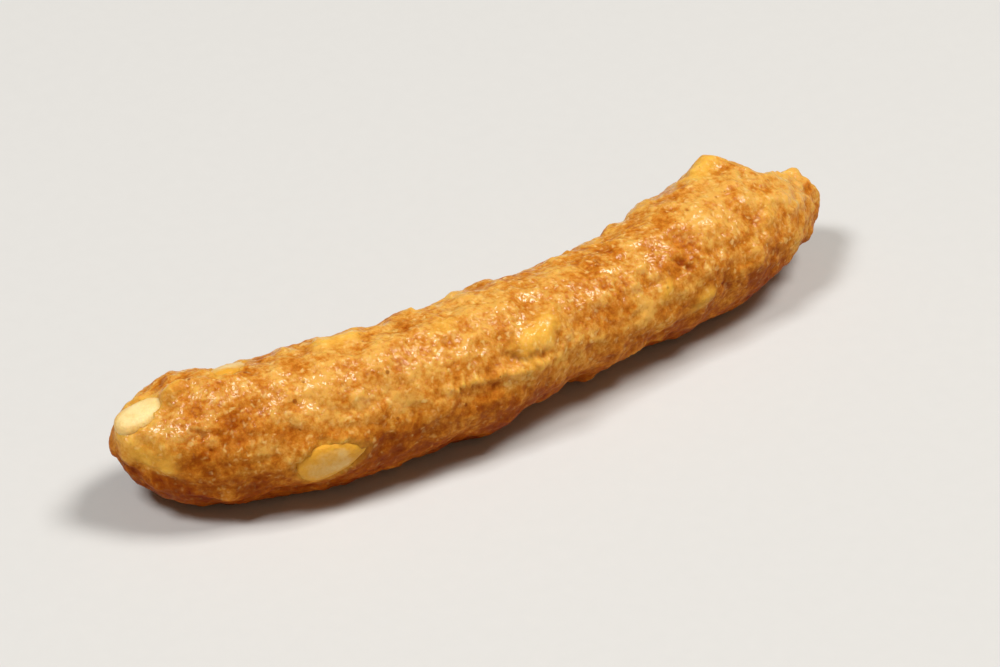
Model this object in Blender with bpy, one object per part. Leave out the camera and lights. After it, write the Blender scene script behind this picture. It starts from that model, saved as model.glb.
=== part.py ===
"""Sesame stick: a fried wheat-dough stick with hulled sesame seeds set in its crust.

One solid, in metres, +Z up. It lies along X on a small flat under its belly, with the origin
on the table under the middle of its box. The dough is a sphere drawn out along a bowed spine,
the seeds are flattened teardrops pressed into it, and one union makes them a single piece.
"""

import math
import random

import bmesh
import bpy
from mathutils import Matrix, Vector, noise

MM = 0.001

# The dough stick. "Along" is a place on the spine, -1 at the tapered tip and 1 at the torn end.
LENGTH = 37.6 * MM
THICKNESS = 6.35 * MM
BOW = 3.5 * MM  # how far the middle swings towards -Y from a straight line
BOW_SKEW = 0.42  # moves the deepest bend towards the tapered tip
TIP_CAP = 4.8 * MM  # length of the rounded taper at along -1
TIP_POINT = 0.92  # above 1 makes that taper more pointed
TORN_CAP = 4.4 * MM  # length of the stump at along 1
TORN_TAPER = 0.62  # share of its thickness that the stump loses before its blunt face
TORN_BLUNTNESS = 7  # a high power squares the stump's edge
SINK = 0.10 * MM  # how deep the belly is pressed flat where it rests

# Places where the stick is thicker or thinner: along, reach along, change in radius
SWELLS = (
    (-0.72, 0.32, 0.08 * MM),
    (-0.42, 0.32, 0.10 * MM),
    (0.27, 0.34, -0.42 * MM),
    (0.92, 0.24, -0.60 * MM),
)

# Knobs and crags of dough that break the outline: along, degrees around, height, reach
KNOBS = (
    (0.73, 58, 0.55 * MM, 1.1 * MM),
    (0.50, 52, 0.20 * MM, 1.7 * MM),
    (0.39, 50, 0.40 * MM, 1.0 * MM),
    (0.28, 56, 0.24 * MM, 0.7 * MM),
    (0.94, 84, 0.35 * MM, 0.7 * MM),
    (0.88, 58, -1.30 * MM, 1.9 * MM),
    (0.98, 45, -0.80 * MM, 1.6 * MM),
    (0.76, 226, -0.45 * MM, 1.8 * MM),
    (-0.06, 228, -0.55 * MM, 1.7 * MM),
    (0.10, 224, -0.50 * MM, 3.2 * MM),
    (-0.25, 226, -0.22 * MM, 3.0 * MM),
    (-0.76, 56, -0.50 * MM, 2.4 * MM),
    (-0.28, 60, 0.22 * MM, 1.2 * MM),
    (-0.70, 300, 0.36 * MM, 1.8 * MM),
    (0.10, 5, 0.34 * MM, 1.6 * MM),
    (0.62, 330, 0.30 * MM, 1.7 * MM),
    (-0.80, 132, -0.13 * MM, 1.3 * MM),
    (-0.10, 146, -0.20 * MM, 0.8 * MM),
    (0.45, 118, -0.16 * MM, 1.0 * MM),
)

# Uneven crust over the whole stick: size of the unevenness and its height
RELIEF = ((3.4 * MM, 0.26 * MM), (1.3 * MM, 0.13 * MM))

# A hulled sesame seed, pointed at one end
SEED_LENGTH = 3.0 * MM
SEED_WIDTH = 1.9 * MM
SEED_THICKNESS = 0.90 * MM
SEED_TAPER = 0.38

# Seeds on the side that shows: along, degrees around, turn from the spine, share that stands out
SHOWN_SEEDS = (
    (-0.93, 106, 30, 0.38),
    (-0.92, 165, -25, 0.22),
    (-0.73, 68, 50, 0.22),
    (-0.56, 183, 12, 0.50),
    (-0.47, 78, 5, 0.20),
    (-0.03, 139, 24, 0.20),
    (0.46, 177, 30, 0.20),
)

# Seeds on the far side, spread by a golden-angle walk with a seeded scatter
HIDDEN_SEEDS = 17
HIDDEN_FROM = 284  # degrees around, where the far side begins
HIDDEN_SPAN = 98
HIDDEN_ALONG = 0.88
GOLDEN_SHARE = 0.618034
HIDDEN_STAND_OUT = (0.20, 0.40)
SCATTER_SEED = 11

# Facets
AROUND = 48
RINGS = 84
CAP_RINGS = 9
SEED_AROUND = 8
SEED_RINGS = 4
SLOPE_STEP = 0.03  # step along the stick that a seed's bed is levelled over
TANGENT_STEP = 0.01  # step along the spine for its direction
BUMP_FALL = 2.5  # how steeply swells and knobs fall off towards their reach

DOUGH_COLOUR = (0.62, 0.27, 0.055, 1.0)


def bump(distance, reach):
    """1 at the middle, falling smoothly to almost 0 at reach."""
    return math.exp(-BUMP_FALL * (distance / reach) ** 2)


def spine_point(along):
    """The middle of the dough at this place, before the stick is centred."""
    swing = BOW * (1 - along * along) * (1 - BOW_SKEW * along)
    return Vector((along * LENGTH / 2, -swing, THICKNESS / 2 - SINK))


def spine_frame(along):
    """Unit vectors across the spine: sideways, which is +Y on a straight stick, and up."""
    tangent = (spine_point(along + TANGENT_STEP) - spine_point(along - TANGENT_STEP)).normalized()
    up = Vector((0, 0, 1))
    return up.cross(tangent).normalized(), up


def half_thickness(along):
    radius = THICKNESS / 2
    for place, reach, change in SWELLS:
        radius += change * bump(along - place, reach)
    return radius


def end_rounding(along):
    """How much of the full radius is left at this place, from 0 at a tip to 1 on the body."""
    into_tip = 1 - (1 + along) * LENGTH / 2 / TIP_CAP
    into_stump = 1 - (1 - along) * LENGTH / 2 / TORN_CAP
    if into_tip > 0:
        return math.sqrt(max(0.0, 1 - into_tip**2)) ** TIP_POINT
    if into_stump > 0:
        return (1 - TORN_TAPER * into_stump) * math.sqrt(max(0.0, 1 - into_stump**TORN_BLUNTNESS))
    return 1.0


def knob_height(smooth_point):
    """How far the knobs near this point push the crust outwards."""
    height = 0.0
    for place, degrees, rise, reach in KNOBS:
        top = smooth_surface(place, math.radians(degrees))
        height += rise * bump((smooth_point - top).length, reach)
    return height


def relief_height(point):
    return sum(height * noise.noise(point / size) for size, height in RELIEF)


def smooth_surface(along, around):
    """The plain bowed stick, with its swells and rounded ends but no knobs or relief."""
    side, up = spine_frame(along)
    radius = half_thickness(along) * end_rounding(along)
    across = side * math.cos(around) + up * math.sin(around)
    return spine_point(along) + across * radius


def dough_surface(along, around):
    """A point of the crust. around is in radians: 0 is +Y, a quarter turn is the top."""
    point = smooth_surface(along, around)
    side, up = spine_frame(along)
    across = side * math.cos(around) + up * math.sin(around)
    outwards = across.lerp(Vector((math.copysign(1, along), 0, 0)), 1 - end_rounding(along))
    height = knob_height(point) + relief_height(point)
    return point + outwards.normalized() * height


def ring_place(share):
    """Along for a ring at this share of the way over the stick: close together on the ends."""
    rounded = CAP_RINGS / RINGS
    tip_end = -1 + 2 * TIP_CAP / LENGTH
    stump = 1 - 2 * TORN_CAP / LENGTH
    if share < rounded:
        return -1 + (tip_end + 1) * (1 - math.cos(share / rounded * math.pi / 2))
    if share > 1 - rounded:
        return 1 - (1 - stump) * (1 - math.cos((1 - share) / rounded * math.pi / 2))
    return tip_end + (stump - tip_end) * (share - rounded) / (1 - 2 * rounded)


def make_object(name, mesh_builder, collection):
    """A mesh object, linked to the collection, from a bmesh with its faces pointing out."""
    bmesh.ops.recalc_face_normals(mesh_builder, faces=mesh_builder.faces)
    mesh = bpy.data.meshes.new(name)
    mesh_builder.to_mesh(mesh)
    mesh_builder.free()
    obj = bpy.data.objects.new(name, mesh)
    collection.objects.link(obj)
    return obj


def dough_stick(collection):
    """A sphere whose rings are moved one by one onto the crust."""
    builder = bmesh.new()
    bmesh.ops.create_uvsphere(builder, u_segments=AROUND, v_segments=RINGS, radius=1)
    for vertex in builder.verts:
        share = math.acos(max(-1.0, min(1.0, vertex.co.z))) / math.pi
        around = math.atan2(vertex.co.y, vertex.co.x)
        vertex.co = dough_surface(ring_place(share), around)
    return make_object("sesame_stick", builder, collection)


def surface_axes(along, around):
    """A frame on the crust: x along the stick, y around it, z straight out."""
    turned = SLOPE_STEP * LENGTH / THICKNESS
    forward = dough_surface(along + SLOPE_STEP, around) - dough_surface(along - SLOPE_STEP, around)
    sideways = dough_surface(along, around + turned) - dough_surface(along, around - turned)
    here = dough_surface(along, around)
    forward.normalize()
    out = sideways.cross(forward).normalized()
    if out.dot(here - spine_point(along)) < 0:
        out.negate()
    axes = Matrix((forward, out.cross(forward), out)).transposed()
    return Matrix.Translation(here) @ axes.to_4x4()


def sesame_seed(name, along, degrees, turn, stand_out, collection):
    """A flattened teardrop lying in the crust, with stand_out of its thickness above it."""
    builder = bmesh.new()
    bmesh.ops.create_uvsphere(builder, u_segments=SEED_AROUND, v_segments=SEED_RINGS, radius=0.5)
    bmesh.ops.rotate(builder, verts=builder.verts, matrix=Matrix.Rotation(math.pi / 2, 3, "Y"))
    for vertex in builder.verts:
        narrowing = 1 - SEED_TAPER * (0.5 + vertex.co.x)
        vertex.co.y *= SEED_WIDTH * narrowing
        vertex.co.z *= SEED_THICKNESS * narrowing
        vertex.co.x *= SEED_LENGTH
    depth = Matrix.Translation((0, 0, (stand_out - 0.5) * SEED_THICKNESS))
    spin = Matrix.Rotation(math.radians(turn), 4, "Z")
    place = surface_axes(along, math.radians(degrees)) @ depth @ spin
    bmesh.ops.transform(builder, matrix=place, verts=builder.verts)
    return make_object(name, builder, collection)


def hidden_seed_places():
    """Along, degrees, turn and stand-out of each far-side seed."""
    draw = random.Random(SCATTER_SEED)
    for number in range(HIDDEN_SEEDS):
        along = HIDDEN_ALONG * (2 * (number + 0.5) / HIDDEN_SEEDS - 1) + draw.uniform(-0.03, 0.03)
        degrees = HIDDEN_FROM + HIDDEN_SPAN * ((number * GOLDEN_SHARE) % 1) + draw.uniform(-8, 8)
        yield along, degrees, draw.uniform(-70, 70), draw.uniform(*HIDDEN_STAND_OUT)


def all_seeds(collection):
    for number, place in enumerate((*SHOWN_SEEDS, *hidden_seed_places())):
        sesame_seed(f"seed_{number:02d}", *place, collection)


def apply_boolean(obj, operation, collection):
    """Joins or cuts obj with every object of the collection, then removes the collection."""
    modifier = obj.modifiers.new(operation.lower(), "BOOLEAN")
    modifier.operation = operation
    modifier.operand_type = "COLLECTION"
    modifier.collection = collection
    modifier.solver = "EXACT"
    bpy.context.view_layer.objects.active = obj
    bpy.ops.object.modifier_apply(modifier=modifier.name)
    for helper in list(collection.objects):
        bpy.data.objects.remove(helper)
    bpy.data.collections.remove(collection)


def table_block(collection):
    """A block under z 0 that presses the belly flat."""
    builder = bmesh.new()
    bmesh.ops.create_cube(builder, size=2 * LENGTH)
    bmesh.ops.translate(builder, verts=builder.verts, vec=(0, 0, -LENGTH))
    block = make_object("table_block", builder, collection)
    block.hide_render = True
    block.display_type = "WIRE"


def centre_over_origin(obj):
    """Moves the mesh so that the middle of its box is over the origin, and keeps its height."""
    places = [vertex.co for vertex in obj.data.vertices]
    middle = [(min(p[k] for p in places) + max(p[k] for p in places)) / 2 for k in (0, 1)]
    obj.data.transform(Matrix.Translation((-middle[0], -middle[1], 0)))


def dough_material():
    material = bpy.data.materials.new("fried_dough")
    material.use_nodes = True
    shader = material.node_tree.nodes["Principled BSDF"]
    shader.inputs["Base Color"].default_value = DOUGH_COLOUR
    shader.inputs["Roughness"].default_value = 0.42
    shader.inputs["Metallic"].default_value = 0.0
    return material


def new_collection(name):
    collection = bpy.data.collections.new(name)
    bpy.context.scene.collection.children.link(collection)
    return collection


def main():
    for obj in list(bpy.data.objects):
        bpy.data.objects.remove(obj)
    stick = dough_stick(new_collection("sesame stick"))
    seeds = new_collection("seeds")
    all_seeds(seeds)
    apply_boolean(stick, "UNION", seeds)
    cutters = new_collection("cutters")
    table_block(cutters)
    apply_boolean(stick, "DIFFERENCE", cutters)
    centre_over_origin(stick)
    stick.data.materials.clear()
    stick.data.materials.append(dough_material())
    stick.data.shade_smooth()
    stick.data.set_sharp_from_angle(angle=math.radians(40))


main()
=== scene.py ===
"""Sesame stick: the finish of one fried wheat-dough stick with hulled sesame seeds in its crust.

The dough is a sphere drawn out along a bowed spine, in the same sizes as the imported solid, and
then worked like clay: seeds are bedded in it, the skin is blistered, pitted, wrinkled and torn.
The seeds are one flattened teardrop, modelled once and copied into their beds.
"""

import math
import random

import bpy
import numpy as np
from bpy.props import FloatProperty, FloatVectorProperty, IntProperty, PointerProperty
from bpy.types import Operator, Panel, PropertyGroup
from mathutils import Matrix, Vector, noise


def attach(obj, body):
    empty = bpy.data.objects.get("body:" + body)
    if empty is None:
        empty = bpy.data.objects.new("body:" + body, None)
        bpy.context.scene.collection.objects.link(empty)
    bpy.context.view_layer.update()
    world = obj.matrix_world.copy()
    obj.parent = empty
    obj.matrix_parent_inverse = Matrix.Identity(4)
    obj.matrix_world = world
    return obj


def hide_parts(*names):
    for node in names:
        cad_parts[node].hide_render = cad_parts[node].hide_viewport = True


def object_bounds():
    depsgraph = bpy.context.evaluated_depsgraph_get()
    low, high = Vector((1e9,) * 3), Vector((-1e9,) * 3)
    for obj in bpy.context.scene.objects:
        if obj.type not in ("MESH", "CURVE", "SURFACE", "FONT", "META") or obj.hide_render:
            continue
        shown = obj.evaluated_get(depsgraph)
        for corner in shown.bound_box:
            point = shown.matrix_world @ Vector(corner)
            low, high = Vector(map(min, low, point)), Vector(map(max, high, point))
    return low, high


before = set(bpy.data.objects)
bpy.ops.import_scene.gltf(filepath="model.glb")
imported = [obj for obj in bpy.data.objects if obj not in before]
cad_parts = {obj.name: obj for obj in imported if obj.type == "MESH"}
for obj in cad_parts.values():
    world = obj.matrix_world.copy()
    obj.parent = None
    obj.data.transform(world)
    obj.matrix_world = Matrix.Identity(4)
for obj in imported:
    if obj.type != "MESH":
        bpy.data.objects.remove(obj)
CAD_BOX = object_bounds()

bl_info = {
    "name": "Sesame stick",
    "version": (1, 0, 0),
    "blender": (4, 5, 0),
    "location": "3D View > Sidebar > Sesame stick",
    "description": "Builds a fried sesame stick: its dough, its seeds and a plain studio",
    "category": "Add Mesh",
}

MM = 0.001
NODE = "sesame_stick"


def linear(hex_colour):
    """An sRGB hex colour, such as "#D9A04C", as linear red, green, blue and alpha."""
    parts = [int(hex_colour[k : k + 2], 16) / 255 for k in (1, 3, 5)]
    return (*(p / 12.92 if p <= 0.04045 else ((p + 0.055) / 1.055) ** 2.4 for p in parts), 1.0)


# ---------------------------------------------------------------- sizes and places

# Form of the dough. "Along" is a place on the spine, -1 at the rounded tip and 1 at the torn end.
BOW_SKEW = 0.42  # moves the deepest bend towards the tip
TIP_CAP = 4.8 * MM
TIP_POINT = 0.92  # above 1 makes the tip more pointed
TORN_CAP = 4.4 * MM
TORN_TAPER = 0.62  # share of its thickness that the stump loses before its blunt face
TORN_EASE = 1.5  # above 1 starts the taper gently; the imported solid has 1, with a slight crease
TORN_BLUNTNESS = 7  # a high power squares the stump's edge
SINK = 0.10 * MM  # how deep the belly is pressed flat on the table
BUMP_FALL = 2.5  # how steeply a bump falls away from its middle
TANGENT_STEP = 0.01  # how far along the spine its direction is taken
SLOPE_STEP = 0.03  # how far along the crust its slope is taken

# Thicker and thinner places: along, reach along, change in radius
SWELLS = (
    (-0.72, 0.32, 0.08 * MM),
    (-0.42, 0.32, 0.10 * MM),
    (0.27, 0.34, -0.42 * MM),
    (0.92, 0.24, -0.60 * MM),
)

# Knobs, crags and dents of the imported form: along, degrees around, height, reach
KNOBS = (
    (0.73, 58, 0.55 * MM, 1.1 * MM),
    (0.50, 52, 0.20 * MM, 1.7 * MM),
    (0.39, 50, 0.40 * MM, 1.0 * MM),
    (0.28, 56, 0.24 * MM, 0.7 * MM),
    (0.94, 84, 0.35 * MM, 0.7 * MM),
    (0.88, 58, -1.30 * MM, 1.9 * MM),
    (0.98, 45, -0.80 * MM, 1.6 * MM),
    (0.76, 226, -0.45 * MM, 1.8 * MM),
    (-0.06, 228, -0.55 * MM, 1.7 * MM),
    (0.10, 224, -0.50 * MM, 3.2 * MM),
    (-0.25, 226, -0.22 * MM, 3.0 * MM),
    (-0.76, 56, -0.50 * MM, 2.4 * MM),
    (-0.28, 60, 0.22 * MM, 1.2 * MM),
    (-0.70, 300, 0.36 * MM, 1.8 * MM),
    (0.10, 5, 0.34 * MM, 1.6 * MM),
    (0.62, 330, 0.30 * MM, 1.7 * MM),
    (-0.80, 132, -0.13 * MM, 1.3 * MM),
    (-0.10, 146, -0.20 * MM, 0.8 * MM),
    (0.45, 118, -0.16 * MM, 1.0 * MM),
)

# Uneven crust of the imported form: size of the unevenness and its height
RELIEF = ((3.4 * MM, 0.26 * MM), (1.3 * MM, 0.13 * MM))

# Facets of the dough, and how many of its rings shape each rounded end
AROUND = 224
RINGS = 440
CAP_RINGS = 54
CENTRE_RINGS, CENTRE_AROUND = 161, 97  # places at which the crust is measured to centre it

# Bare seeds on the side that shows: along, degrees around, turn from the spine, share that stands
# out, degrees that the pointed end dips, size, and how golden frying stained it, from 0 to 1
SHOWN_SEEDS = (
    (-0.94, 110, 20, 0.34, 15, 0.92, 0.0),
    (-0.73, 68, 50, 0.22, 0, 1.0, 0.50),
    (-0.565, 182, 11, 0.50, 3, 1.08, 0.72),
)

# Seeds on the far side, spread by a golden-angle walk with a seeded scatter
HIDDEN_FROM = 284
HIDDEN_SPAN = 98
HIDDEN_ALONG = 0.88
GOLDEN_SHARE = 0.618034
HIDDEN_STAND_OUT = (0.20, 0.40)
HIDDEN_SIZE = (0.94, 1.05)
HIDDEN_TURN = 70  # degrees from the spine, either way
HIDDEN_SCATTER = (0.03, 8)  # most that a seed strays along, and in degrees around
SCATTER_SEED = 11

# Seeds that lie under the skin and show as golden swellings: along, degrees, turn, rise, share
# of the seed's colour that shows through, share of the seed that does
BURIED_SEEDS = (
    (-0.92, 165, -25, 0.22 * MM, 0.75, 0.95),
    (-0.868, 99, 20, 0.34 * MM, 0.5, 0.55),
    (-0.47, 78, 5, 0.16 * MM, 0.8, 0.9),
    (-0.03, 139, 24, 0.20 * MM, 1.0, 1.1),
    (0.46, 177, 30, 0.16 * MM, 1.0, 0.5),
    (0.36, 152, 40, 0.14 * MM, 0.9, 0.45),
    (0.70, 64, 10, 0.08 * MM, 0.9, 0.8),
    (-0.22, 100, 20, 0.06 * MM, 0.5, 0.6),
    (0.72, 138, 60, 0.06 * MM, 0.4, 0.7),
    (-0.05, 300, 60, 0.16 * MM, 0.9, 0.9),
    (0.30, 345, 10, 0.16 * MM, 0.8, 0.9),
    (0.66, 20, 40, 0.14 * MM, 0.9, 0.8),
    (-0.60, 10, 15, 0.14 * MM, 0.8, 0.9),
    (-0.10, 30, 70, 0.12 * MM, 0.7, 0.8),
)
SEED_TAPER = 0.38
SEED_BLUNTNESS = 0.7  # below 1 makes the end that isn't pointed fuller
SEED_FLATNESS = 0.8  # below 1 makes the faces flatter and the rim fuller
SEED_PINCH = (0.35, 0.18, 0.5)  # share of width lost at the point, and from where to where
SEED_RIM = (0.62, 1.0)  # share of the way out where the rim's colour starts, and is full
SEED_AROUND, SEED_RINGS = 36, 24
SEED_WAVES = ((0.05 * MM, 0.9 * MM), (0.02 * MM, 0.3 * MM))  # height and size
TIP_STAIN = 0.5  # how much more golden the pointed end is
TIP_STAINED = (0.10, 0.44)  # from where to where on the seed
SEED_ENDS = 0.6  # past this share of its length from the middle a seed narrows no further
SEED_REACH = 1.4 * MM  # skin farther than this above or below a seed isn't near it
FAR_OFF = 9  # the distance that such skin is given, counted in seed outlines

# How dough lies round a seed. Distances are counted in seed outlines, 1 on the rim
LAP_WOBBLES = ((0.75 * MM, 1.0), (0.30 * MM, 0.5))  # size and strength of its unevenness
DOUGH_LAP = 0.12 * MM  # how far the dough laps over the middle of a seed's rim
LAP_RAGGED = 1.6  # how much the unevenness changes that
LAP_LIMIT = 0.22 * MM  # the most that the dough rises to meet a rim
LAP_END = (1.12, 1.9)  # between these the dough leaves off rising
LAP_NEAR = 2.2  # past this a seed doesn't change the dough
BED_DEPTH = 0.20 * MM  # how far the dough is pushed in under a seed
BED_EDGE = (0.55, 0.85)  # between these the dough leaves off being pushed in
BED_RAGGED = 0.2
PALE_RIM = (0.4, 0.95, 1.40)  # paleness of the dough round a rim, and between where it ends
PALE_RAGGED = 0.15
SWELLING_EDGE = (0.30, 1.40)  # between these the skin over a buried seed falls to the crust
SWELLING_RAGGED = 0.35
SWELLING_NEAR = 2.0

# Thin raised edges of torn skin, and cracks that the material paints darker as painted shade, on
# the side that shows:
# along and degrees of both ends, height, width
EDGES = (
    (-0.28, 153, -0.13, 156, 0.26 * MM, 0.26 * MM),
    (-0.15, 154, 0.01, 163, 0.28 * MM, 0.25 * MM),
    (-0.13, 138, -0.08, 150, -0.15 * MM, 0.30 * MM),
    (-0.09, 150, -0.01, 153, -0.12 * MM, 0.28 * MM),
    (0.62, 58, 0.76, 68, 0.20 * MM, 0.34 * MM),
    (0.80, 100, 0.95, 96, 0.20 * MM, 0.30 * MM),
    (-0.86, 139, -0.79, 146, -0.12 * MM, 0.24 * MM),
    (-0.30, 66, -0.12, 62, 0.12 * MM, 0.24 * MM),
    (0.28, 60, 0.34, 84, 0.16 * MM, 0.22 * MM),
    (0.40, 128, 0.46, 150, -0.12 * MM, 0.24 * MM),
    (0.52, 166, 0.55, 186, -0.14 * MM, 0.24 * MM),
)
EDGE_POINTS = 22  # places along each edge
EDGE_WANDER = 0.24 * MM
EDGE_ARCH = (0.12, 0.76)  # part of a half wave that an edge's height follows: start and length
EDGE_LEAST = 0.6  # the least share of its height that an edge has at any place
EDGE_PALE = 0.5  # how pale thin torn skin is

# Patches that fried darker on the side that shows: along, degrees, reach
TOASTED = (
    (-0.81, 134, 1.2 * MM),
    (-0.60, 212, 2.2 * MM),
    (-0.10, 147, 0.9 * MM),
    (0.54, 158, 1.5 * MM),
    (0.36, 120, 1.2 * MM),
    (-0.31, 82, 1.2 * MM),
    (0.20, 204, 2.0 * MM),
)
TOAST_STRENGTH = 0.25  # against 1 for the underside's painted shade

# Painted shade: the underside is browner, wholly below the first height, not above the second
UNDERSIDE_SHADE = (0.3 * MM, 5.3 * MM)
BELLY_UNEVEN = (2.4 * MM, 0.9 * MM)  # size and height of the waves in that border

# Oil has drained from the sides: none where the skin's normal rises less than the first number
OILED_SLOPE = (0.22, 0.72)

# Skin: blisters stand up, pits go in. Number, and the ranges of their reach and height
BLISTERS = (560, (0.28 * MM, 0.80 * MM), (0.03 * MM, 0.11 * MM))
PITS = (40, (0.08 * MM, 0.16 * MM), (-0.10 * MM, -0.04 * MM))
SKIN_ALONG = 0.98  # how near to the ends they are found
SKIN_RAGGED = (0.22 * MM, 0.35)  # size and strength of the unevenness of their outlines
SKIN_NEAR = 1.6  # times its reach, past which a blister no longer lifts the skin
SKIN_SEED = 4

# Fine skin relief: size along the stick, size across it, height
WRINKLES = ((2.4 * MM, 0.65 * MM, 0.07 * MM), (1.0 * MM, 0.45 * MM, 0.03 * MM))
GRAIN = ((0.85 * MM, 0.08 * MM), (0.40 * MM, 0.04 * MM))  # size and height
GRANULES = (0.40 * MM, 0.05 * MM)
GRANULE_GAP = 0.8  # distance from a grain's middle, in grains, at which the gap is deepest
TORN_ROUGHNESS = (1.3 * MM, 0.14 * MM)  # size and height of the crumb on the torn end
TORN_FROM, TORN_TO = 0.80, 0.92  # where the crumb begins, and is at its roughest
SMOOTHED = (0.4, 0.3, 0.9)  # share of the fine relief lost over a seed, and paleness from and to
RELIEF_SHADE_SPAN = 0.40 * MM  # height from the deepest hollow to the highest top; hollows get painted shade, tops painted light

# The studio
CAMERA_AZIMUTH = -33.0
CAMERA_ELEVATION = 35.0
CAMERA_LENS = 180.0
CAMERA_DISTANCE = 0.226
CAMERA_NEAREST = 0.01
FLOOR_SIZE = 1.6
FLOOR_DROP = 0.02 * MM  # keeps the floor just under the belly

# Lights: name, place, side of the square, watts, colour
LIGHTS = (
    ("key_light", (0.215, -0.08, 0.44), 0.16, 1.78, "#FFFCF8"),
    ("fill_light", (-0.10, -0.48, 0.30), 0.50, 0.30, "#FFDDB0"),
    ("side_light", (-0.24, 0.0, 0.42), 0.13, 1.38, "#FFFFFF"),
)
AIR_COLOUR, AIR_STRENGTH = "#FFEAD2", 0.06


class StickSizes(PropertyGroup):
    """Real sizes of the stick and its seeds."""

    length: FloatProperty(
        name="Length", description="Tip to torn end, along the spine",
        default=37.6 * MM, min=20 * MM, max=60 * MM, unit="LENGTH", precision=4)
    thickness: FloatProperty(
        name="Thickness", description="Across the body of the dough",
        default=6.35 * MM, min=4 * MM, max=10 * MM, unit="LENGTH", precision=4)
    bow: FloatProperty(
        name="Bow", description="How far the middle swings to one side",
        default=3.5 * MM, min=0, max=8 * MM, unit="LENGTH", precision=4)
    seed_length: FloatProperty(
        name="Seed length", description="Hulled sesame seed, end to end",
        default=3.0 * MM, min=2 * MM, max=4 * MM, unit="LENGTH", precision=4)
    seed_width: FloatProperty(
        name="Seed width", description="Hulled sesame seed, at its widest",
        default=1.9 * MM, min=1 * MM, max=3 * MM, unit="LENGTH", precision=4)
    seed_thickness: FloatProperty(
        name="Seed thickness", description="Hulled sesame seed, face to face",
        default=0.90 * MM, min=0.4 * MM, max=1.5 * MM, unit="LENGTH", precision=4)
    hidden_seeds: IntProperty(
        name="Far seeds", description="Seeds spread over the far side",
        default=17, min=0, max=60)


class StickColours(PropertyGroup):
    """Colours of the crust, the seeds and the floor."""

    golden: FloatVectorProperty(
        name="Golden crust", description="The crust where it fried lightly",
        default=linear("#E6AC50"), size=4, subtype="COLOR", min=0, max=1)
    orange: FloatVectorProperty(
        name="Orange crust", description="Most of the crust",
        default=linear("#CA7C24"), size=4, subtype="COLOR", min=0, max=1)
    # Also the colour towards which the underside's painted shade goes
    brown: FloatVectorProperty(
        name="Brown crust", description="The crust where it fried longest",
        default=linear("#A4520C"), size=4, subtype="COLOR", min=0, max=1)
    # This dark colour also paints shade into the pits and cracks
    speck_and_recess_shade: FloatVectorProperty(
        name="Specks", description="Bran specks, pits and cracks",
        default=linear("#7C2C08"), size=4, subtype="COLOR", min=0, max=1)
    pale: FloatVectorProperty(
        name="Skin over seeds", description="Thin skin with a seed just under it",
        default=linear("#F7C04E"), size=4, subtype="COLOR", min=0, max=1)
    flour: FloatVectorProperty(
        name="Coarse flour", description="Light grains at the surface of the crust",
        default=linear("#F7D486"), size=4, subtype="COLOR", min=0, max=1)
    seed: FloatVectorProperty(
        name="Seeds", description="Hulled sesame seed",
        default=linear("#F8E0A0"), size=4, subtype="COLOR", min=0, max=1)
    seed_rim: FloatVectorProperty(
        name="Seed rims", description="Where frying turned a seed golden",
        default=linear("#E4A436"), size=4, subtype="COLOR", min=0, max=1)
    floor: FloatVectorProperty(
        name="Floor", description="The plain pale floor",
        default=linear("#D6D6D4"), size=4, subtype="COLOR", min=0, max=1)


# ---------------------------------------------------------------- form of the dough

def bump(distance, reach):
    """1 at the middle, falling smoothly to almost 0 at reach."""
    return np.exp(-BUMP_FALL * (distance / reach) ** 2)


def smooth_step(value, low, high):
    """0 up to low, 1 from high on, and a smooth way between."""
    share = np.clip((value - low) / (high - low), 0, 1)
    return share * share * (3 - 2 * share)


def spine_points(sizes, along):
    """The middle of the dough at these places, before the stick is centred."""
    swing = sizes.bow * (1 - along * along) * (1 - BOW_SKEW * along)
    height = np.full_like(along, sizes.thickness / 2 - SINK)
    return np.stack((along * sizes.length / 2, -swing, height), axis=1)


def end_rounding(sizes, along):
    """How much of the full radius is left at each place, from 0 at a tip to 1 on the body."""
    into_tip = np.clip(1 - (1 + along) * sizes.length / 2 / TIP_CAP, 0, 1)
    into_stump = np.clip(1 - (1 - along) * sizes.length / 2 / TORN_CAP, 0, 1)
    tip = np.sqrt(1 - into_tip**2) ** TIP_POINT
    stump = (1 - TORN_TAPER * into_stump**TORN_EASE) * np.sqrt(1 - into_stump**TORN_BLUNTNESS)
    return tip * stump


def across_spine(sizes, along, around):
    """The way straight out of the spine for each place, as unit vectors."""
    tangent = spine_points(sizes, along + TANGENT_STEP) - spine_points(sizes, along - TANGENT_STEP)
    tangent /= np.linalg.norm(tangent, axis=1, keepdims=True)
    side = np.stack((-tangent[:, 1], tangent[:, 0], np.zeros_like(along)), axis=1)
    up = np.array((0.0, 0.0, 1.0))
    return side * np.cos(around)[:, None] + up * np.sin(around)[:, None]


def smooth_surface(sizes, along, around):
    """The plain bowed stick, with its swells and rounded ends but no knobs or relief."""
    radius = np.full_like(along, sizes.thickness / 2)
    for place, reach, change in SWELLS:
        radius += change * bump(along - place, reach)
    radius *= end_rounding(sizes, along)
    return spine_points(sizes, along) + across_spine(sizes, along, around) * radius[:, None]


def noise_at(points, scale):
    """Smooth noise from -1 to 1 at each point. Its scale is the size of its lumps, one number or
    one for each axis."""
    return np.array([noise.noise(p) for p in (points / scale).tolist()])


def crust(sizes, along, around):
    """Points of the crust as it was packed: the plain form with its knobs and unevenness."""
    points = smooth_surface(sizes, along, around)
    height = np.zeros_like(along)
    for place, degrees, rise, reach in KNOBS:
        top = smooth_surface(sizes, np.array((place,)), np.radians((float(degrees),)))
        height += rise * bump(np.linalg.norm(points - top, axis=1), reach)
    for size, rise in RELIEF:
        height += rise * noise_at(points, size)
    rounding = end_rounding(sizes, along)[:, None]
    lengthways = np.stack((np.copysign(1.0, along), 0 * along, 0 * along), axis=1)
    outwards = across_spine(sizes, along, around) * rounding + lengthways * (1 - rounding)
    outwards /= np.linalg.norm(outwards, axis=1, keepdims=True)
    return points + outwards * height[:, None]


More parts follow.
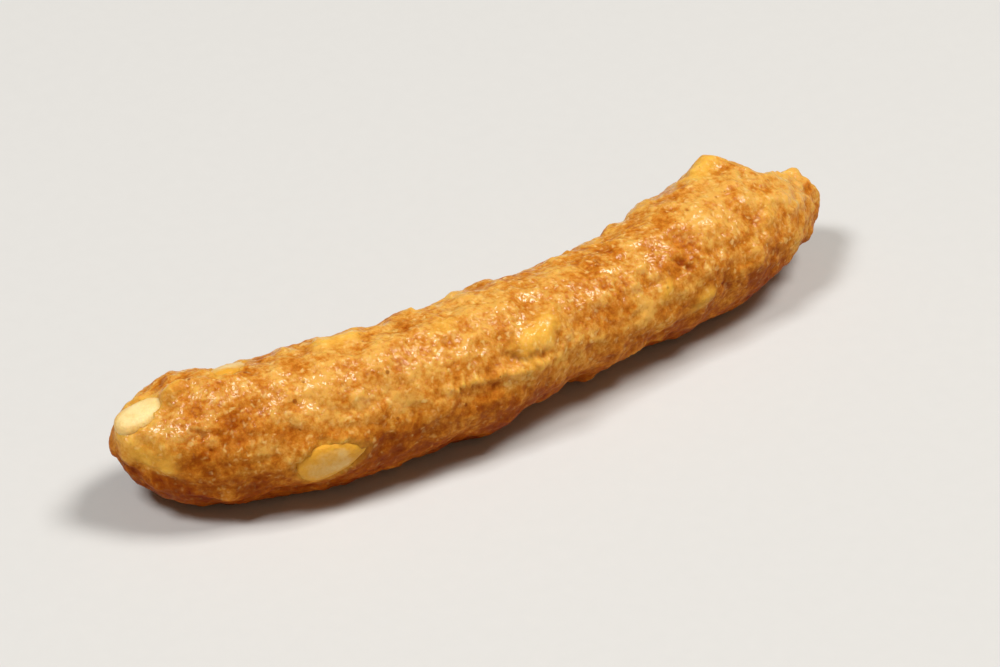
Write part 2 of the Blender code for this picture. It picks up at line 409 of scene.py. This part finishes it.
def ring_places(sizes, share):
    """Along for each ring's share of the way over the stick: close together on the ends."""
    rounded = CAP_RINGS / RINGS
    tip_end = -1 + 2 * TIP_CAP / sizes.length
    stump = 1 - 2 * TORN_CAP / sizes.length
    on_tip = -1 + (tip_end + 1) * (1 - np.cos(share / rounded * math.pi / 2))
    on_stump = 1 - (1 - stump) * (1 - np.cos((1 - share) / rounded * math.pi / 2))
    on_body = tip_end + (stump - tip_end) * (share - rounded) / (1 - 2 * rounded)
    return np.select((share < rounded, share > 1 - rounded), (on_tip, on_stump), on_body)


def crust_point(sizes, along, degrees):
    """One place on the crust."""
    return crust(sizes, np.array((float(along),)), np.radians((float(degrees),)))[0]


def bed_axes(sizes, along, degrees, turn):
    """A frame on the crust: z straight out, and x along the stick, turned by turn degrees."""
    swing = math.degrees(SLOPE_STEP * sizes.length / sizes.thickness)
    here = Vector(crust_point(sizes, along, degrees))
    ahead = Vector(crust_point(sizes, along + SLOPE_STEP, degrees))
    behind = Vector(crust_point(sizes, along - SLOPE_STEP, degrees))
    left = Vector(crust_point(sizes, along, degrees + swing))
    right = Vector(crust_point(sizes, along, degrees - swing))
    forward = (ahead - behind).normalized()
    out = (left - right).cross(forward).normalized()
    if out.dot(here - Vector(spine_points(sizes, np.array((along,)))[0])) < 0:
        out.negate()
    axes = Matrix((forward, out.cross(forward), out)).transposed().to_4x4()
    return Matrix.Translation(here) @ axes @ Matrix.Rotation(math.radians(turn), 4, "Z")


def seed_beds(sizes):
    """The frame and the stain of each seed that shows, on both sides of the stick."""
    draw = random.Random(SCATTER_SEED)
    places = list(SHOWN_SEEDS)
    smallest, largest = HIDDEN_SIZE
    stray_along, stray_around = HIDDEN_SCATTER
    for number in range(sizes.hidden_seeds):
        spread = HIDDEN_ALONG * (2 * (number + 0.5) / sizes.hidden_seeds - 1)
        along = spread + draw.uniform(-stray_along, stray_along)
        degrees = HIDDEN_FROM + HIDDEN_SPAN * ((number * GOLDEN_SHARE) % 1)
        degrees += draw.uniform(-stray_around, stray_around)
        turn = draw.uniform(-HIDDEN_TURN, HIDDEN_TURN)
        stand_out = draw.uniform(*HIDDEN_STAND_OUT)
        size = smallest + (largest - smallest) * ((number * GOLDEN_SHARE * 3) % 1)
        stain = (number * GOLDEN_SHARE * 2) % 1
        places.append((along, degrees, turn, stand_out, 0, size, stain))
    for along, degrees, turn, stand_out, dip, size, stain in places:
        sunk = Matrix.Translation((0, 0, (stand_out - 0.5) * sizes.seed_thickness))
        dipped = Matrix.Rotation(math.radians(dip), 4, "Y") @ Matrix.Diagonal((size, size, 1, 1))
        yield bed_axes(sizes, along, degrees, turn) @ sunk @ dipped, stain


def middle_of_box(points):
    """How far the stick has to move in X and Y to stand over the origin."""
    middle = (points.min(axis=0) + points.max(axis=0)) / 2
    middle[2] = 0
    return middle


# ---------------------------------------------------------------- skin of the dough

def seed_distance(sizes, frame_matrix, points):
    """How far each point is from a seed, 1 on its outline and less inside it, and its height over
    the middle of the seed."""
    turned = np.array(frame_matrix.inverted())
    local = points @ turned[:3, :3].T + turned[:3, 3]
    x = local[:, 0] / sizes.seed_length
    narrowing = 1 - SEED_TAPER * (0.5 + np.clip(x, -SEED_ENDS, SEED_ENDS))
    half_width = sizes.seed_width / 2 * narrowing
    distance = np.hypot(2 * x, local[:, 1] / half_width)
    distance[np.abs(local[:, 2]) > SEED_REACH] = FAR_OFF
    return distance, local[:, 2]


def scattered_bumps(sizes, points, kind):
    """Blisters or pits at random places: their height, and how deep each point is in one."""
    number, reaches, heights = kind
    draw = np.random.default_rng(SKIN_SEED + number)
    along = draw.uniform(-SKIN_ALONG, SKIN_ALONG, number)
    places = crust(sizes, along, draw.uniform(0, 2 * math.pi, number))
    reach = draw.uniform(*reaches, number)
    rise = draw.uniform(*heights, number)
    size, strength = SKIN_RAGGED
    ragged = 1 + strength * noise_at(points, size)
    height = np.zeros(len(points))
    depth = np.zeros(len(points))
    for place, wide, tall in zip(places, reach, rise):
        near = np.flatnonzero(np.abs(points[:, 0] - place[0]) < SKIN_NEAR * wide)
        share = bump(np.linalg.norm(points[near] - place, axis=1) * ragged[near], wide)
        height[near] += tall * share
        depth[near] = np.maximum(depth[near], share)
    return height, depth


def granules(points, size):
    """Packed rounded grains, as of coarse flour: 1 on top of one, 0 in the gaps."""
    nearest = np.array([noise.voronoi(p)[0][0] for p in (points / size).tolist()])
    return 1 - np.clip(nearest / GRANULE_GAP, 0, 1) ** 2


def torn_edges(sizes, points):
    """Edges of torn skin, and cracks: the height they add, how deep in a crack each point is,
    and how far up a raised edge."""
    draw = random.Random(SKIN_SEED)
    start, length = EDGE_ARCH
    height = np.zeros(len(points))
    cracked = np.zeros(len(points))
    raised = np.zeros(len(points))
    for along, degrees, along_end, degrees_end, rise, width in EDGES:
        share = np.zeros(len(points))
        for step in range(EDGE_POINTS):
            way = step / (EDGE_POINTS - 1)
            place = crust_point(
                sizes, along + (along_end - along) * way, degrees + (degrees_end - degrees) * way)
            wander = Vector((draw.uniform(-1, 1), draw.uniform(-1, 1), draw.uniform(-1, 1)))
            centre = place + np.array(wander) * EDGE_WANDER / 2
            fade = math.sin(math.pi * (start + length * way)) * draw.uniform(EDGE_LEAST, 1)
            share = np.maximum(share, fade * bump(np.linalg.norm(points - centre, axis=1), width))
        height += rise * share
        if rise < 0:
            cracked = np.maximum(cracked, share)
        else:
            raised = np.maximum(raised, share)
    return height, cracked, raised


def bedded_seeds(sizes, points, height):
    """Dough lapping up round the seeds, and lifted by the buried ones. Returns the pale skin."""
    pale = np.zeros(len(points))
    wobble = sum(strength * noise_at(points, size) for size, strength in LAP_WOBBLES)
    paleness, *pale_from_to = PALE_RIM
    for matrix, _ in seed_beds(sizes):
        distance, level = seed_distance(sizes, matrix, points)
        near = distance < LAP_NEAR
        lap = DOUGH_LAP * (1 + LAP_RAGGED * wobble[near])
        rising = np.clip(lap - level[near], 0, LAP_LIMIT)
        rising *= 1 - smooth_step(distance[near], *LAP_END)
        under = 1 - smooth_step(distance[near] + BED_RAGGED * wobble[near], *BED_EDGE)
        height[near] += rising * (1 - under) - BED_DEPTH * under
        rim = 1 - smooth_step(distance[near] + PALE_RAGGED * wobble[near], *pale_from_to)
        pale[near] = np.maximum(pale[near], paleness * rim)
    for along, degrees, turn, rise, showing, part in BURIED_SEEDS:
        distance, _ = seed_distance(sizes, bed_axes(sizes, along, degrees, turn), points)
        distance /= part
        near = distance < SWELLING_NEAR
        outline = distance[near] + SWELLING_RAGGED * wobble[near]
        over = 1 - smooth_step(outline, *SWELLING_EDGE)
        height[near] += rise * over
        pale[near] = np.maximum(pale[near], showing * over)
    return pale


def store(mesh, name, values):
    """Keeps one number for each vertex, for the material to read."""
    attribute = mesh.attributes.new(name, "FLOAT", "POINT")
    attribute.data.foreach_set("value", np.clip(values, 0, 1).astype(np.float32))


def vertex_array(mesh, what="co"):
    """The places of a mesh's vertices, or their normals, as rows of three numbers."""
    values = np.empty(len(mesh.vertices) * 3, dtype=np.float32)
    if what == "co":
        mesh.vertices.foreach_get("co", values)
    else:
        mesh.vertex_normals.foreach_get("vector", values)
    return values.reshape(-1, 3).astype(float)


def move_vertices(mesh, points):
    """Puts each vertex of a mesh in its new place."""
    mesh.vertices.foreach_set("co", points.astype(np.float32).ravel())
    mesh.update()


def draw_out(sizes, mesh):
    """Moves the rings of the sphere onto the crust. Returns each vertex's place along it."""
    sphere = vertex_array(mesh)
    share = np.arccos(np.clip(sphere[:, 2], -1, 1)) / math.pi
    around = np.arctan2(sphere[:, 1], sphere[:, 0])
    along = ring_places(sizes, share)
    move_vertices(mesh, crust(sizes, along, around))
    return along


def work_skin(sizes, mesh, along):
    """Works the skin like clay, along its normals, and keeps what the material needs to know."""
    points, normals = vertex_array(mesh), vertex_array(mesh, "normal")
    height = np.zeros(len(points))
    pale = bedded_seeds(sizes, points, height)
    blisters, _ = scattered_bumps(sizes, points, BLISTERS)
    pits, pitted = scattered_bumps(sizes, points, PITS)
    edges, cracked, raised = torn_edges(sizes, points)
    fine = blisters + pits + edges
    for lengthways, sideways, rise in WRINKLES:
        fine += rise * noise_at(points, np.array((lengthways, sideways, sideways)))
    for size, rise in GRAIN:
        fine += rise * noise_at(points, size)
    size, rise = GRANULES
    fine += rise * granules(points, size)
    size, rise = TORN_ROUGHNESS
    crumb = 1 - 2 * np.abs(noise_at(points, size)) + 0.6 * noise_at(points, size / 3)
    fine += rise * crumb * smooth_step(along, TORN_FROM, TORN_TO)
    toast_and_underside_shade = np.zeros(len(points))
    for place, degrees, reach in TOASTED:
        gap = np.linalg.norm(points - crust_point(sizes, place, degrees), axis=1)
        toast_and_underside_shade = np.maximum(toast_and_underside_shade, TOAST_STRENGTH * bump(gap, reach))
    # Painted shade: the underside is marked browner, in the same mark as the toasted patches
    size, rise = BELLY_UNEVEN
    uneven = rise * noise_at(points, size)
    toast_and_underside_shade = np.maximum(toast_and_underside_shade, 1 - smooth_step(points[:, 2] + uneven, *UNDERSIDE_SHADE))
    lost, *pale_from_to = SMOOTHED
    fine *= 1 - lost * smooth_step(pale, *pale_from_to)
    fine -= fine.mean()
    move_vertices(mesh, points + normals * (height + fine)[:, None])
    store(mesh, "pale_skin", np.maximum(pale, EDGE_PALE * raised))
    # Painted shade: pits and cracks are marked to be painted dark
    store(mesh, "pitted", np.maximum(pitted, cracked))
    # Painted shade in the hollows of the relief, and painted light on its tops
    store(mesh, "relief_shade", 0.5 + fine / RELIEF_SHADE_SPAN)
    store(mesh, "toast_and_underside_shade", toast_and_underside_shade)
    store(mesh, "oiled", smooth_step(normals[:, 2], *OILED_SLOPE))


def press_flat(mesh):
    """Nothing of the stick goes below the table."""
    points = vertex_array(mesh)
    points[:, 2] = np.maximum(points[:, 2], 0)
    move_vertices(mesh, points)


# ---------------------------------------------------------------- materials

def add_node(tree, kind, settings=None, inputs=None, ramp=()):
    """A shader node with its settings. Each input is a value, or the socket that feeds it."""
    node = tree.nodes.new(kind)
    for name, value in (settings or {}).items():
        setattr(node, name, value)
    for place, value in (inputs or {}).items():
        if isinstance(value, bpy.types.NodeSocket):
            tree.links.new(value, node.inputs[place])
        else:
            node.inputs[place].default_value = value
    for number, (position, colour) in enumerate(ramp):
        stops = node.color_ramp.elements
        stop = stops[number] if number < 2 else stops.new(position)
        stop.position, stop.color = position, colour
    return node


def new_material(name):
    """An empty material, its shader, and Object coordinates counted in millimetres."""
    material = bpy.data.materials.new(name)
    material.use_nodes = True
    tree = material.node_tree
    place = add_node(tree, "ShaderNodeTexCoord")
    ruler = add_node(tree, "ShaderNodeMapping", inputs={"Vector": place.outputs["Object"],
                                                        "Scale": (1000.0, 1000.0, 1000.0)})
    return material, tree, tree.nodes["Principled BSDF"], ruler.outputs["Vector"]


def fried_dough_material(colours):
    """Wheat dough extruded and fried in oil: golden to orange-brown in patches, with bran specks
    and paler skin over the seeds, and a thin film of oil that glints on its grain. Painted shade
    darkens its pits and cracks to reddish brown, its hollows and its underside, and painted light
    lightens the tops of its relief."""
    material, tree, shader, mm = new_material("oil_fried_wheat_dough")
    # Patches 3.6 mm across, blotches of 0.9 mm and crumbs of 0.26 mm set the shade of the crust
    patches = add_node(tree, "ShaderNodeTexNoise", inputs={
        "Vector": mm, "Scale": 1 / 3.6, "Detail": 3.0, "Roughness": 0.55})
    blotches = add_node(tree, "ShaderNodeTexNoise", inputs={
        "Vector": mm, "Scale": 1 / 0.9, "Detail": 5.0, "Roughness": 0.62})
    crumbs = add_node(tree, "ShaderNodeTexNoise", inputs={
        "Vector": mm, "Scale": 1 / 0.26, "Detail": 3.0, "Roughness": 0.65})
    # Painted shade darkens the hollows of the relief, and painted light lightens its tops
    relief_shade = add_node(tree, "ShaderNodeAttribute", {"attribute_name": "relief_shade"})
    pale = add_node(tree, "ShaderNodeAttribute", {"attribute_name": "pale_skin"})
    # Painted shade: the pits and cracks
    pitted = add_node(tree, "ShaderNodeAttribute", {"attribute_name": "pitted"})
    # Toasted patches, and the painted shade of the underside
    toast_and_underside_shade = add_node(tree, "ShaderNodeAttribute", {"attribute_name": "toast_and_underside_shade"})
    oiled = add_node(tree, "ShaderNodeAttribute", {"attribute_name": "oiled"})

    lightness = None
    # The tone of the crust, with painted shade in the hollows and on the underside and painted
    # light on the tops of the relief
    for source, weight in ((patches, 0.60), (blotches, 0.52), (crumbs, 0.68), (relief_shade, 0.34),
                           (toast_and_underside_shade, -0.44)):
        lightness = add_node(tree, "ShaderNodeMath", {"operation": "MULTIPLY_ADD"}, {
            0: source.outputs["Fac"], 1: weight, 2: lightness.outputs[0] if lightness else -0.49})
    crust_colour = add_node(tree, "ShaderNodeValToRGB", inputs={"Fac": lightness.outputs[0]}, ramp=(
        (0.0, tuple(colours.speck_and_recess_shade)), (0.28, tuple(colours.brown)), (0.47, tuple(colours.orange)),
        (0.68, tuple(colours.golden))))

    # Thin skin over a seed, and at a torn edge, is paler
    over_seed = add_node(tree, "ShaderNodeMath", {"operation": "MULTIPLY"}, {
        0: pale.outputs["Fac"], 1: blotches.outputs["Fac"]})
    over_seed = add_node(tree, "ShaderNodeMath", {"operation": "MULTIPLY", "use_clamp": True}, {
        0: over_seed.outputs[0], 1: 1.5})
    paler = add_node(tree, "ShaderNodeMix", {"data_type": "RGBA"}, {
        0: over_seed.outputs[0], 6: crust_colour.outputs["Color"], 7: tuple(colours.pale)})

    # Grains of coarse flour, 0.3 mm across: some are lighter than the crust
    ripples = add_node(tree, "ShaderNodeTexNoise", inputs={
        "Vector": mm, "Scale": 1 / 0.30, "Detail": 1.0, "Roughness": 0.4})
    uneven = add_node(tree, "ShaderNodeVectorMath", {"operation": "MULTIPLY_ADD"}, {
        0: ripples.outputs["Color"], 1: (0.5, 0.5, 0.5), 2: mm})
    grains = add_node(tree, "ShaderNodeTexVoronoi", {"feature": "SMOOTH_F1"}, {
        "Vector": uneven.outputs["Vector"], "Scale": 1 / 0.30, "Smoothness": 0.2})
    picked = add_node(tree, "ShaderNodeSeparateColor", inputs={"Color": grains.outputs["Color"]})
    grain_top = add_node(tree, "ShaderNodeMapRange", {"interpolation_type": "SMOOTHSTEP"}, {
        "Value": grains.outputs["Distance"], "From Min": 0.55, "From Max": 0.0})
    pale_grain = add_node(tree, "ShaderNodeMapRange", inputs={
        "Value": picked.outputs["Green"], "From Min": 0.35, "From Max": 0.95, "To Max": 0.75})
    flecks = add_node(tree, "ShaderNodeMath", {"operation": "MULTIPLY"}, {
        0: grain_top.outputs["Result"], 1: pale_grain.outputs["Result"]})
    # Fewer light grains on toasted patches and in the underside's painted shade
    fewer_on_toast_and_shade = add_node(tree, "ShaderNodeMapRange", inputs={
        "Value": toast_and_underside_shade.outputs["Fac"], "To Min": 1.0, "To Max": 0.08})
    flecks = add_node(tree, "ShaderNodeMath", {"operation": "MULTIPLY"}, {
        0: flecks.outputs[0], 1: fewer_on_toast_and_shade.outputs["Result"]})
    paler = add_node(tree, "ShaderNodeMix", {"data_type": "RGBA"}, {
        0: flecks.outputs[0], 6: paler.outputs[2], 7: tuple(colours.flour)})

    # Bran specks up to 0.29 mm across, one in each 1.1 mm, and painted shade in the pits and cracks
    # of the skin
    bran = add_node(tree, "ShaderNodeTexVoronoi", inputs={"Vector": mm, "Scale": 1 / 1.1})
    chosen = add_node(tree, "ShaderNodeSeparateColor", inputs={"Color": bran.outputs["Color"]})
    small = add_node(tree, "ShaderNodeMath", {"operation": "MULTIPLY"}, {
        0: chosen.outputs["Red"], 1: 0.13})
    inside = add_node(tree, "ShaderNodeMath", {"operation": "SUBTRACT"}, {
        0: small.outputs[0], 1: bran.outputs["Distance"]})
    specks = add_node(tree, "ShaderNodeMapRange", inputs={
        "Value": inside.outputs[0], "From Min": 0.0, "From Max": 0.05, "To Max": 0.9})
    specks_and_recess_shade = add_node(tree, "ShaderNodeMath", {"operation": "MAXIMUM"}, {
        0: specks.outputs["Result"], 1: pitted.outputs["Fac"]})
    specks_and_recess_shade = add_node(tree, "ShaderNodeMapRange", {"interpolation_type": "SMOOTHSTEP"}, {
        "Value": specks_and_recess_shade.outputs[0], "From Min": 0.05, "From Max": 1.0, "To Max": 0.66})
    specked = add_node(tree, "ShaderNodeMix", {"data_type": "RGBA"}, {
        0: specks_and_recess_shade.outputs[0], 6: paler.outputs[2], 7: tuple(colours.speck_and_recess_shade)})
    tree.links.new(specked.outputs[2], shader.inputs["Base Color"])

    # A thin film of oil stands as a dome on each grain and glints, most of all in blotches
    oil = add_node(tree, "ShaderNodeMapRange", inputs={
        "Value": blotches.outputs["Fac"], "From Min": 0.35, "From Max": 0.65,
        "To Min": 0.42, "To Max": 0.60})
    tree.links.new(oil.outputs["Result"], shader.inputs["Roughness"])
    crumb_bump = add_node(tree, "ShaderNodeBump", inputs={
        "Height": crumbs.outputs["Fac"], "Distance": 0.06 * MM, "Strength": 0.8})
    tree.links.new(crumb_bump.outputs["Normal"], shader.inputs["Normal"])
    hollows = add_node(tree, "ShaderNodeMath", {"operation": "MULTIPLY"}, {
        0: grains.outputs["Distance"], 1: grains.outputs["Distance"]})
    oil_film = add_node(tree, "ShaderNodeBump", {"invert": True}, {
        "Height": hollows.outputs[0], "Distance": 0.05 * MM, "Strength": 1.0})
    tree.links.new(oil_film.outputs["Normal"], shader.inputs["Coat Normal"])
    oily = add_node(tree, "ShaderNodeMapRange", inputs={
        "Value": blotches.outputs["Fac"], "From Min": 0.42, "From Max": 0.62,
        "To Min": 0.08, "To Max": 0.95})
    oily = add_node(tree, "ShaderNodeMath", {"operation": "MULTIPLY"}, {
        0: oily.outputs["Result"], 1: oiled.outputs["Fac"]})
    oily = add_node(tree, "ShaderNodeMath", {"operation": "SUBTRACT", "use_clamp": True}, {
        0: oily.outputs[0], 1: specks_and_recess_shade.outputs[0]})
    tree.links.new(oily.outputs[0], shader.inputs["Coat Weight"])
    shader.inputs["IOR"].default_value = 1.46
    shader.inputs["Subsurface Weight"].default_value = 0.32
    shader.inputs["Subsurface Radius"].default_value = (1.0, 0.30, 0.10)
    shader.inputs["Subsurface Scale"].default_value = 0.5 * MM
    shader.inputs["Specular IOR Level"].default_value = 0.06
    shader.inputs["Specular Tint"].default_value = linear("#FFDCA8")
    shader.inputs["Coat Roughness"].default_value = 0.20
    shader.inputs["Coat IOR"].default_value = 1.48
    return material


def sesame_seed_material(colours):
    """Hulled sesame seed, fried in the crust: ivory, a little translucent and satin, turned golden
    at its rim and in faint streaks along its length, with fine ribs under a trace of oil."""
    material, tree, shader, mm = new_material("fried_hulled_sesame")
    # Clouds 0.7 mm across stain the seed, and ribs of 0.16 mm roughen its skin
    rim = add_node(tree, "ShaderNodeAttribute", {"attribute_name": "rim"})
    clouds = add_node(tree, "ShaderNodeTexNoise", inputs={
        "Vector": mm, "Scale": 1 / 0.7, "Detail": 5.0, "Roughness": 0.68})
    ribs = add_node(tree, "ShaderNodeTexNoise", inputs={
        "Vector": mm, "Scale": 1 / 0.16, "Detail": 2.0, "Roughness": 0.5})
    stain = add_node(tree, "ShaderNodeAttribute", {"attribute_name": "stain"})
    browned = None
    for source, weight in ((rim, 0.40), (clouds, 1.10), (stain, 0.65)):
        browned = add_node(tree, "ShaderNodeMath", {"operation": "MULTIPLY_ADD"}, {
            0: source.outputs["Fac"], 1: weight, 2: browned.outputs[0] if browned else 0.0})
    share = add_node(tree, "ShaderNodeMapRange", inputs={
        "Value": browned.outputs[0], "From Min": 0.45, "From Max": 1.25})
    colour = add_node(tree, "ShaderNodeMix", {"data_type": "RGBA"}, {
        0: share.outputs["Result"], 6: tuple(colours.seed), 7: tuple(colours.seed_rim)})
    tree.links.new(colour.outputs[2], shader.inputs["Base Color"])
    satin = add_node(tree, "ShaderNodeMapRange", inputs={
        "Value": clouds.outputs["Fac"], "To Min": 0.30, "To Max": 0.52})
    tree.links.new(satin.outputs["Result"], shader.inputs["Roughness"])
    rib_bump = add_node(tree, "ShaderNodeBump", inputs={
        "Height": ribs.outputs["Fac"], "Distance": 0.06 * MM, "Strength": 0.8})
    tree.links.new(rib_bump.outputs["Normal"], shader.inputs["Normal"])
    shader.inputs["IOR"].default_value = 1.47
    shader.inputs["Subsurface Weight"].default_value = 0.30
    shader.inputs["Subsurface Radius"].default_value = (1.0, 0.7, 0.35)
    shader.inputs["Subsurface Scale"].default_value = 0.5 * MM
    shader.inputs["Specular IOR Level"].default_value = 0.2
    shader.inputs["Specular Tint"].default_value = linear("#FFE2B0")
    shader.inputs["Coat Weight"].default_value = 0.06
    shader.inputs["Coat Roughness"].default_value = 0.25
    return material


def studio_floor_material(colours):
    """Matt white card: pale and even, with a faint paper tooth."""
    material, tree, shader, mm = new_material("matt_white_card")
    tooth = add_node(tree, "ShaderNodeTexNoise", inputs={
        "Vector": mm, "Scale": 1 / 0.8, "Detail": 3.0})
    tint = add_node(tree, "ShaderNodeMapRange", inputs={
        "Value": tooth.outputs["Fac"], "To Min": 0.97, "To Max": 1.0})
    colour = add_node(tree, "ShaderNodeVectorMath", {"operation": "SCALE"}, {
        0: tuple(colours.floor)[:3], "Scale": tint.outputs["Result"]})
    tree.links.new(colour.outputs["Vector"], shader.inputs["Base Color"])
    shader.inputs["Roughness"].default_value = 0.9
    shader.inputs["Specular IOR Level"].default_value = 0.2
    return material


# ---------------------------------------------------------------- pieces

def deselect_all():
    """Leaves nothing selected, so that an operator acts on new pieces alone."""
    bpy.ops.object.select_all(action="DESELECT")


def face_outwards(piece):
    """Turns every face of a closed mesh to the outside."""
    bpy.context.view_layer.objects.active = piece
    bpy.ops.object.mode_set(mode="EDIT")
    bpy.ops.mesh.select_all(action="SELECT")
    bpy.ops.mesh.normals_make_consistent(inside=False)
    bpy.ops.object.mode_set(mode="OBJECT")


def finish_piece(piece, name, material):
    """Names a piece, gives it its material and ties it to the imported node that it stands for."""
    piece.name = piece.data.name = name
    piece.data.materials.clear()
    piece.data.materials.append(material)
    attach(piece, "root")
    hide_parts(NODE)


def centre_shift(sizes):
    """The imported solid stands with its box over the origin, so the crust is shifted as it was."""
    share = np.linspace(0, 1, CENTRE_RINGS)
    around = np.linspace(0, 2 * math.pi, CENTRE_AROUND)
    along, turns = np.meshgrid(ring_places(sizes, share), around)
    return middle_of_box(crust(sizes, along.ravel(), turns.ravel()))


class SESAME_OT_dough(Operator):
    """Draw the fried dough out of a sphere and work its skin"""

    bl_idname = "sesame.dough"
    bl_label = "Fried dough"

    def execute(self, context):
        sizes = context.scene.stick_sizes
        deselect_all()
        coarse = 1
        bpy.ops.mesh.primitive_uv_sphere_add(
            segments=AROUND // coarse, ring_count=RINGS // coarse, radius=1, location=(0, 0, 0))
        dough = context.object
        along = draw_out(sizes, dough.data)
        face_outwards(dough)
        work_skin(sizes, dough.data, along)
        move_vertices(dough.data, vertex_array(dough.data) - centre_shift(sizes))
        press_flat(dough.data)
        bpy.ops.object.shade_smooth()
        crust_finish = fried_dough_material(context.scene.stick_colours)
        finish_piece(dough, "fried_dough", crust_finish)
        return {"FINISHED"}


def shape_seed(sizes, mesh):
    """Turns a ball into one flattened, pointed seed, and marks its rim."""
    ball = vertex_array(mesh)
    x, y, z = ball[:, 2], ball[:, 0], ball[:, 1]
    x = np.where(x < 0, -(np.abs(2 * x) ** SEED_BLUNTNESS) / 2, x)
    narrowing = 1 - SEED_TAPER * (0.5 + x)
    lost, *from_to = SEED_PINCH
    pinch = 1 - lost * smooth_step(x, *from_to)
    flat = np.sign(z) * np.abs(2 * z) ** SEED_FLATNESS / 2
    points = np.stack((x * sizes.seed_length,
                       y * sizes.seed_width * narrowing * pinch,
                       flat * sizes.seed_thickness * narrowing), axis=1)
    move_vertices(mesh, points)
    store(mesh, "rim", smooth_step(np.hypot(2 * x, 2 * y), *SEED_RIM))


class SESAME_OT_seeds(Operator):
    """Model one hulled sesame seed and bed copies of it in the crust"""

    bl_idname = "sesame.seeds"
    bl_label = "Sesame seeds"

    def execute(self, context):
        sizes = context.scene.stick_sizes
        deselect_all()
        bpy.ops.mesh.primitive_uv_sphere_add(
            segments=SEED_AROUND, ring_count=SEED_RINGS, radius=0.5)
        pattern = context.object
        shape_seed(sizes, pattern.data)
        shift = Matrix.Translation(-Vector(centre_shift(sizes)))
        tip = smooth_step(vertex_array(pattern.data)[:, 0] / sizes.seed_length, *TIP_STAINED)
        copies = []
        for matrix, stain in seed_beds(sizes):
            copy = bpy.data.objects.new("seed", pattern.data.copy())
            context.collection.objects.link(copy)
            copy.data.transform(shift @ matrix)
            points = vertex_array(copy.data)
            waves = sum(rise * noise_at(points, size) for rise, size in SEED_WAVES)
            move_vertices(copy.data, points + vertex_array(copy.data, "normal") * waves[:, None])
            store(copy.data, "stain", stain + TIP_STAIN * tip)
            copies.append(copy)
        bpy.data.objects.remove(pattern)
        deselect_all()
        for copy in copies:
            copy.select_set(True)
        context.view_layer.objects.active = copies[0]
        bpy.ops.object.join()
        seeds = context.object
        press_flat(seeds.data)
        face_outwards(seeds)
        bpy.ops.object.shade_smooth()
        seed_finish = sesame_seed_material(context.scene.stick_colours)
        finish_piece(seeds, "sesame_seeds", seed_finish)
        return {"FINISHED"}


def area_light(name, place, target, size, watts, colour):
    """A soft square light aimed at a point."""
    bpy.ops.object.light_add(type="AREA", location=place)
    light = bpy.context.object
    light.name = light.data.name = name
    light.rotation_euler = (Vector(target) - Vector(place)).to_track_quat("-Z", "Y").to_euler()
    light.data.shape = "SQUARE"
    light.data.size = size
    light.data.energy = watts
    light.data.color = linear(colour)[:3]


class SESAME_OT_stage(Operator):
    """Set the stick on a pale floor, under soft lights, before the camera"""

    bl_idname = "sesame.stage"
    bl_label = "Studio"

    def execute(self, context):
        scene = context.scene
        deselect_all()
        bpy.ops.mesh.primitive_plane_add(size=FLOOR_SIZE, location=(0, 0, -FLOOR_DROP))
        floor = context.object
        bpy.ops.object.transform_apply(location=True, rotation=True, scale=True)
        floor.name = "floor"
        floor.data.materials.append(studio_floor_material(scene.stick_colours))

        low, high = CAD_BOX
        centre = (low + high) / 2
        for name, place, size, watts, colour in LIGHTS:
            area_light(name, place, centre, size, watts, colour)

        world = bpy.data.worlds.new("studio_air")
        scene.world = world
        world.use_nodes = True
        air = world.node_tree.nodes["Background"]
        air.inputs["Color"].default_value = linear(AIR_COLOUR)
        air.inputs["Strength"].default_value = AIR_STRENGTH

        azimuth, elevation = math.radians(CAMERA_AZIMUTH), math.radians(CAMERA_ELEVATION)
        back = Vector((math.sin(azimuth) * math.cos(elevation),
                       -math.cos(azimuth) * math.cos(elevation), math.sin(elevation)))
        bpy.ops.object.camera_add(location=centre + back * CAMERA_DISTANCE)
        camera = context.object
        camera.name = "camera"
        camera.rotation_euler = (-back).to_track_quat("-Z", "Y").to_euler()
        camera.data.lens = CAMERA_LENS
        camera.data.clip_start = CAMERA_NEAREST
        camera.data.dof.use_dof = False
        scene.camera = camera
        scene.view_settings.view_transform = "Standard"
        return {"FINISHED"}


class SESAME_PT_panel(Panel):
    """Lists the pieces of the stick"""

    bl_label = "Sesame stick"
    bl_idname = "SESAME_PT_panel"
    bl_space_type = "VIEW_3D"
    bl_region_type = "UI"
    bl_category = "Sesame stick"

    def draw(self, context):
        for group in (context.scene.stick_sizes, context.scene.stick_colours):
            for name in group.__annotations__:
                self.layout.prop(group, name)
        for operator in (SESAME_OT_dough, SESAME_OT_seeds, SESAME_OT_stage):
            self.layout.operator(operator.bl_idname)


CLASSES = (StickSizes, StickColours,
           SESAME_OT_dough, SESAME_OT_seeds, SESAME_OT_stage, SESAME_PT_panel)


def register():
    """Makes the sizes, colours, operators and panel known to Blender."""
    for kind in CLASSES:
        bpy.utils.register_class(kind)
    bpy.types.Scene.stick_sizes = PointerProperty(type=StickSizes)
    bpy.types.Scene.stick_colours = PointerProperty(type=StickColours)


def unregister():
    """Takes them away again."""
    del bpy.types.Scene.stick_colours
    del bpy.types.Scene.stick_sizes
    for kind in reversed(CLASSES):
        bpy.utils.unregister_class(kind)


def main():
    """Builds the stick and its studio."""
    register()
    bpy.ops.sesame.dough()
    bpy.ops.sesame.seeds()
    bpy.ops.sesame.stage()


if __name__ == "__main__":
    main()
